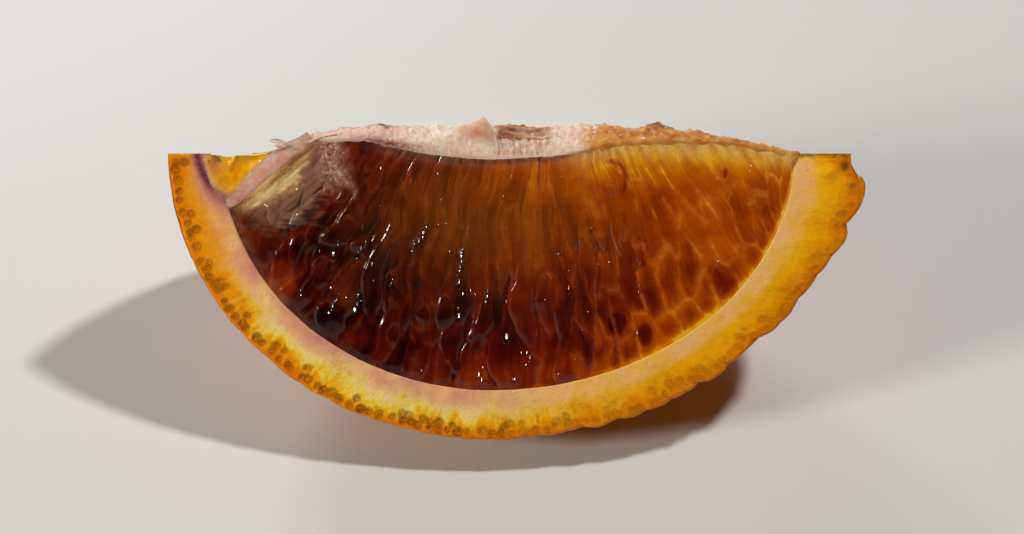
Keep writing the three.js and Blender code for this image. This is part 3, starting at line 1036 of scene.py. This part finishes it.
def crest(material):
    """The strip of core between the two faces' flesh: torn pith, a brown patch, then wet sac ends. It runs
    from an apron down the front face, over the top, to a skirt down the back."""
    x = linspace(-24.6, 28.2, 640)[:, None]
    over = linspace(0, 1, 44)[None]
    lengthwise = partial(ripple, x, 0 * x)
    ends = smooth(x, -24.8, -21.5) * smooth(-x, -28.3, -26.5)
    top = front_top(x)

    # The upper side.
    stand = lerp(0.3, 0.75, smooth(x, -21.5, -17.5) * ends) - 0.3 * smooth(x, 5, 9)
    front_edge = on_face(FRONT, x, -top, stand)
    front_y, front_z = front_edge[..., 1], front_edge[..., 2]
    edge_y, edge_z = crest_back_edge(x)
    torn = 0.22 * lengthwise(1.6, 122) + 0.16 * lengthwise(0.5, 123)
    thinner = ends * lerp(1, 0.2, smooth(x, 6, 12))
    back_y = maximum(front_y + 0.3, edge_y + 0.4 * thinner + 0.8 * torn)
    back_z = AXIS_Z + edge_z + 0.25 * thinner + torn * ends
    y = lerp(front_y, back_y, over)
    across = x + 0 * y
    rough = partial(ripple, across, y)
    rise = 0.25 * crest_lens(x) + 0.3 * bell(x, -4.8, 3) + 0.25 * bell(x, 15, 2.2)
    dry = 0.22 * rough(1.7, 113) + 0.14 * rough(0.6, 114) + 0.12 * rough(0.4, 127) + 0.08 * rough(0.22, 128)
    border, mark = flat_cells(across + 0.3 * rough(0.8, 119), 1.2 * y, 0.9, 115)
    grains = 0.55 * np.sqrt(clip(border, 0, 0.25)) + 0.35 * mark + 0.1 * rough(0.5, 121) - 0.2
    wet = smooth(x + 0.8 * rough(1.4, 116), 6, 9)
    wild = across + 0.5 * rough(1.1, 129)
    pillow = 0.9 * bell(wild, -7, 2.1) * bell(y, 0.9, 0.9)
    steep = where(wild < -3.6, 0.45 * smooth(wild, -6.8, -5.8) + 0.55 * smooth(wild, -5.6, -3.5), 1)
    flake = (2.9 + 0.7 * rough(0.7, 130)) * steep * fade(wild, -3.5, -1.8) * bell(y, 1.14 - 0.1 * wild, 0.6)
    arch = sin(pi * over) ** 0.6 * ends
    z = lerp(front_z, back_z, over) + arch * (rise + lerp(dry, grains, wet) + pillow + flake)

    # The apron: a torn lip over the pith, and a flush skirt over the wet part.
    ragged = 0.16 * lengthwise(0.9, 111) + 0.1 * lengthwise(0.35, 112)
    lip = 0.1 + 0.4 * bell(x, -18.5, 4) * ends + ragged * (1 - 0.6 * smooth(x, 3, 7))
    skirted = smooth(x, 4, 9)
    hem = lerp(maximum(0.1, lip), 0.15 + (0.9 + 0.8 * ragged) * ends, skirted)
    front_down = -top + hem * np.array([1.25, 1.1, 0.9, 0.5, 0.2])
    lifted = stand * np.array([-0.8, 0.3, 0.85, 1, 1])
    flush = np.array([0.08, 0.2, 0.29, 0.37, 0.42]) * (0.3 + 0.7 * ends)
    front = on_face(FRONT, x + 0 * front_down, front_down, lerp(lifted, flush, skirted))

    back_run = (0.6 + 0.5 * abs(ragged)) * np.array([0.2, 0.5, 0.9, 1.1, 1.25])
    inwards = np.array([0, 0.02, 0.1, 0.7, 1.2])
    back_skirt_y = back_y + 0.85 * back_run * SLANT - inwards * DROP
    back_skirt_z = back_z - back_run * DROP - inwards * SLANT
    back = np.stack([x + 0 * back_run, back_skirt_y, back_skirt_z], -1)
    points = np.concatenate([front, np.stack([across, y, z], -1), back], 1)
    side = 0 * front_down
    inward = np.concatenate([side, over + 0 * x, side + 1], 1)
    low_hem = np.concatenate([side + (1, 1, 0.85, 0.45, 0.15), 0 * y, side], 1)
    apron = np.concatenate([side + 1, 0 * y, side], 1)
    add_piece("crest", points, material, crest_values(points, back_y, inward, low_hem, apron))


def crest_values(points, back_y, inward, low_hem, apron):
    """The values that the pith material reads. inward is 0 on the apron and 1 on the skirt behind, low_hem
    is 1 at the apron's lower edge, and apron is 1 on it."""
    x, y, z = np.moveaxis(points, -1, 0)
    rough = partial(ripple, x, y)
    warp = x + rough(1.8, 118)
    in_patch = smooth(warp, -2.8, -1.6) * fade(warp, 2.4, 4.2) * (1 - apron)
    teeth = 0.42 + 0.6 * ripple(x + 0.1 * rough(0.8, 124), y, (0.2, 1.4), 125)
    combed = smooth(y, -0.7, -0.3) * fade(y, 1.3, 1.6)
    solid = smooth(y, 1.2, 1.5) * (0.8 + 0.4 * rough((2, 0.3), 126))
    edge_line = bell(y - back_y, 0, 0.35) * fade(x, -13, -9) * smooth(x, -21.5, -19)
    on_flake = bell(warp, -4, 1.9) * smooth(z - AXIS_Z, 0.9, 1.8)
    spot = bell(x, -3.8, 0.8) * bell(z - AXIS_Z, 2, 0.5)
    fringe = inward + 0.1 * rough((0.35, 1.6), 131)
    dark_lip = bell(x, -12.8, 3.4) * fade(fringe, 0.1, 0.34)
    low_blush = 0.55 * bell(x, -2.5, 9) * fade(fringe, 0.02, 0.35)
    wet_lip = bell(x, -6, 3.6) * fade(fringe, 0, 0.12) + bell(x, 1, 3) * apron * 0.3
    return dict(
        blush=unit(0.5 * fade(warp, -13, -8) + 0.3 * smooth(warp, 2, 5) + 0.7 * on_flake + low_blush),
        brown=unit(in_patch * (combed * teeth + solid) + 0.5 * edge_line),
        jelly=smooth(warp, 5.5, 8.5),
        stain=unit(0.95 * dark_lip + 0.25 * edge_line),
        gold=unit(smooth(x, 4, 8) * low_hem + 0.55 * spot + 0.35 * wet_lip),
    )


def scraps(material):
    """The torn flakes that stand up from the crest, as one joined piece."""
    rng = np.random.default_rng(150)
    side = linspace(0, 2 * pi, 40, endpoint=False)[None]
    level = linspace(-0.4, 1, 18)[:, None]
    up = maximum(0, level)
    place = cos(side)
    taper = np.sqrt(unit(1 - up**3))
    grids = []
    for x, width, rise, behind, thick, lean, peak, blush, jelly, brown in (
        # behind is how far behind the axis it stands; peak is where its top is, from -1 to 1 across it.
        (-22.7, 2.8, 0.55, 0.35, 0.7, -1.3, -0.7, 0.45, 0, 0),
        (-13.9, 2.8, 0.4, 2.5, 0.5, 0.2, 0.1, 0.2, 0.5, 0.6),
        (14.3, 3.2, 0.8, 2.2, 0.9, -0.3, -0.4, 0, 0.5, 1),
    ):
        along = place * width + rng.uniform(0, 50)
        crown = 1 - 0.5 * abs(place - peak) ** 1.8 + 0.25 * ripple(along, 0 * place, 0.9, 151)
        rough = 1 + 0.3 * ripple(along, 2.5 * level + sin(side), 0.8, 152)
        flake_x = x + lean * up**2 + 0.5 * width * place * (0.55 + 0.45 * taper) * rough
        flake_y = behind + 0.5 * thick * sin(side) * (0.15 + 0.85 * taper) * rough + 0.35 * level**2
        flake_y = flake_y + 0.25 * ripple(flake_x, level * rise, 0.9, 153)
        ground = AXIS_Z + 0.5 * front_top(x) + 0.25
        flake_z = ground + rise * where(level > 0, level * maximum(0.12, crown), level)
        patch = unit(0.5 + 1.2 * ripple(flake_x, flake_z, 1.3, 154))
        values = dict(
            blush=blush * (1.2 - 0.5 * patch),
            jelly=jelly * patch * bell(place - peak, 0, 0.6),
            brown=brown,
        )
        grids.append((np.stack([flake_x, flake_y, flake_z], -1), values))
    add_joined("crest_scraps", grids, material)


# ---- The scene round it ----


def set_up(name, data, place, backwards):
    """A lamp or the camera at a place, with its back to a direction."""
    thing = bpy.data.objects.new(name, data)
    thing.location = place
    thing.rotation_mode = "QUATERNION"
    thing.rotation_quaternion = backwards.to_track_quat("Z", "Y")
    bpy.context.scene.collection.objects.link(thing)
    return thing


def floor():
    size = 3
    mesh = bpy.data.meshes.new("floor")
    corners = [(-size, -size, 0), (size, -size, 0), (size, size, 0), (-size, size, 0)]
    mesh.from_pydata(corners, [], [(0, 1, 2, 3)])
    table = bpy.data.objects.new("floor", mesh)
    bpy.context.scene.collection.objects.link(table)
    s = Shader("floor")
    s.set(Base_Color=(211, 209, 207), Roughness=0.6)
    mesh.materials.append(s.material)


def lights():
    """Soft lamps that face the wedge, and a dim warm room that is a little lighter behind it."""
    for name, towards, distance, size, power, colour in (
        ("key", (0.471, 0.085, 1), 1.2, 0.09, 8.6, (1, 0.99, 0.96)),
        ("fill", (-1.906, -0.822, 1), 0.7, 0.131, 2.95, (0.97, 1, 0.9)),
        ("window", (-0.35, 0.84, 0.42), 0.25, 0.07, 0.25, (0.9, 0.92, 1)),
    ):
        lamp = bpy.data.lights.new(name, "AREA")
        lamp.shape = "DISK"
        lamp.size = size
        lamp.energy = power
        lamp.color = colour
        direction = Vector(towards).normalized()
        set_up(name, lamp, direction * distance, direction)

    world = bpy.data.worlds.new("room")
    world.use_nodes = True
    nodes, links = world.node_tree.nodes, world.node_tree.links
    parts = nodes.new("ShaderNodeSeparateXYZ")
    links.new(nodes.new("ShaderNodeTexCoord").outputs["Generated"], parts.inputs[0])
    behind = nodes.new("ShaderNodeMapRange")
    links.new(parts.outputs["Y"], behind.inputs["Value"])
    for key, number in (("From Min", -0.9), ("From Max", 0.6), ("To Min", 0.008), ("To Max", 0.03)):
        behind.inputs[key].default_value = number
    links.new(behind.outputs["Result"], nodes["Background"].inputs["Strength"])
    nodes["Background"].inputs["Color"].default_value = (1, 0.8, 0.62, 1)
    bpy.context.scene.world = world
    bpy.context.scene.view_settings.view_transform = "Standard"


def camera():
    lens = bpy.data.cameras.new("camera")
    lens.sensor_width = 36
    lens.lens = 277.875
    lens.clip_start = 0.05
    elevation = np.radians(50)
    back = Vector((0, -cos(elevation), sin(elevation)))
    looked_at = Vector((-0.5, -3.9, 17)) * MM
    distance = 0.8
    bpy.context.scene.camera = set_up("camera", lens, looked_at + back * distance, back)


# The bright rows of drops on the front face: (x, down, length).
GLINTS = (
    (-23, 6.8, 0.7), (-17.9, 8.9, 1.4), (-18.6, 10.3, 0.9), (-15.6, 7.6, 0.6), (-15.2, 9, 2.2),
    (-14.8, 11.2, 0.8), (-12.5, 13, 1.3), (-15.7, 15, 2.2), (-18.3, 15.1, 2), (-10, 8.7, 1),
    (-9.2, 7.2, 1.8), (-5.5, 9.8, 4.2), (-5.9, 16, 1.4), (-3, 14.4, 1.6), (-1.2, 19, 1.2),
    (1, 20.8, 1.6), (-0.5, 23.4, 1), (-3.6, 22.4, 1.6), (-1.4, 4.4, 0.5), (4.2, 10.4, 0.4),
    (5.4, 13.9, 0.6), (4.2, 23.2, 1), (9.4, 3, 0.6), (7.6, 7.7, 0.8), (12.4, 11.2, 0.8),
    (12.3, 13.9, 0.7), (12.3, 18.5, 0.6),
)

camera()
floor()
lights()
rind()
flesh = flesh_material("flesh", gloss=1.31, gloss_roughness=0.1, uneven=1)
juice = flesh_material("juice", gloss=1.5, gloss_roughness=0.16, uneven=0.12)
front = segment("segment_front", FRONT, 610, 162, 7, flesh)
beads("beads_front", FRONT, *front, GLINTS, 60, 17, juice)
back = segment("segment_back", BACK, 400, 120, 57, flesh)
beads("beads_back", BACK, *back, (), 90, 67, juice)
corner_segment("corner_front", FRONT, flesh)
corner_segment("corner_back", BACK, flesh)
pith = pith_material()
wall("wall_front", FRONT, pith)
wall("wall_back", BACK, pith)
crest(pith)
scraps(pith)
